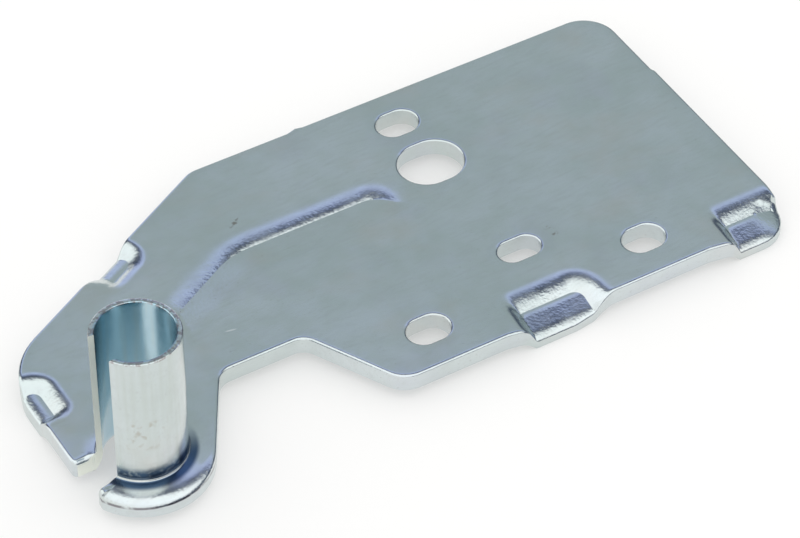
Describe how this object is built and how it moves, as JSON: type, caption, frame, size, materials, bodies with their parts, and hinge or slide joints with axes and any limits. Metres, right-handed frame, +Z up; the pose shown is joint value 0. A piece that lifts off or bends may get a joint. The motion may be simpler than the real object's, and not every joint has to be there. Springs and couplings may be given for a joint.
{
  "type": "appliance door hinge",
  "caption": "Upper door hinge plate for a refrigerator: pressed zinc-plated sheet with a hollow slotted pivot collar, slotted screw holes, seat pads and a stiffening rib.",
  "frame": {"origin": "on the collar's axis, in the plate's upper face", "axes": "+Z up along the collar towards its rim, +X along the plate away from the collar, +Y towards the plate's rear edge"},
  "size_m": [0.1147, 0.0568, 0.0275],
  "materials": {
    "zinc_plate": "zinc-plated, semi-gloss"
  },
  "bodies": {
    "root": {"hinge_plate": "zinc_plate"}
  },
  "joints": []
}
